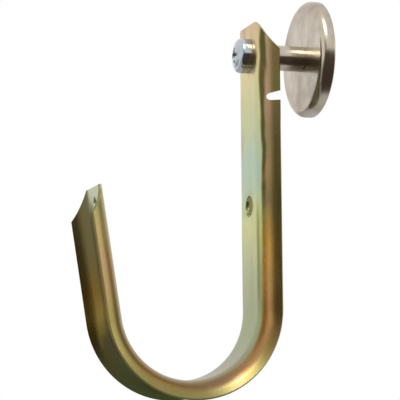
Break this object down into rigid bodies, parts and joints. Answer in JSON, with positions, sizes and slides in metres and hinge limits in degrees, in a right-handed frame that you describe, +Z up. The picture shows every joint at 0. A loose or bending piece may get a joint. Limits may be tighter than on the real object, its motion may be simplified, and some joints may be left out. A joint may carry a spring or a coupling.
{
  "type": "j hook cable support",
  "caption": "J-shaped channel-section steel cable hook, screwed through its top tab to the threaded stud of a round pot magnet.",
  "frame": {"origin": "centre of the magnet's flat holding face", "axes": "+X out of the holding face, away from the cable loop; +Z up the long arm; Y across the strip"},
  "size_m": [0.0897, 0.0434, 0.1483],
  "materials": {
    "yellow_zinc_steel": "yellow chromate over zinc plate, iridescent",
    "zinc_screw_steel": "bright zinc plate",
    "nickel_plate": "satin nickel plate",
    "magnet_alloy": "ground, dull",
    "epoxy": "matt potting"
  },
  "bodies": {
    "root": {"j_hook": "yellow_zinc_steel", "pan_head_screw": "zinc_screw_steel", "threaded_stud": "nickel_plate", "magnet_cup": "nickel_plate", "magnet": "magnet_alloy", "potting_ring": "epoxy"}
  },
  "joints": []
}
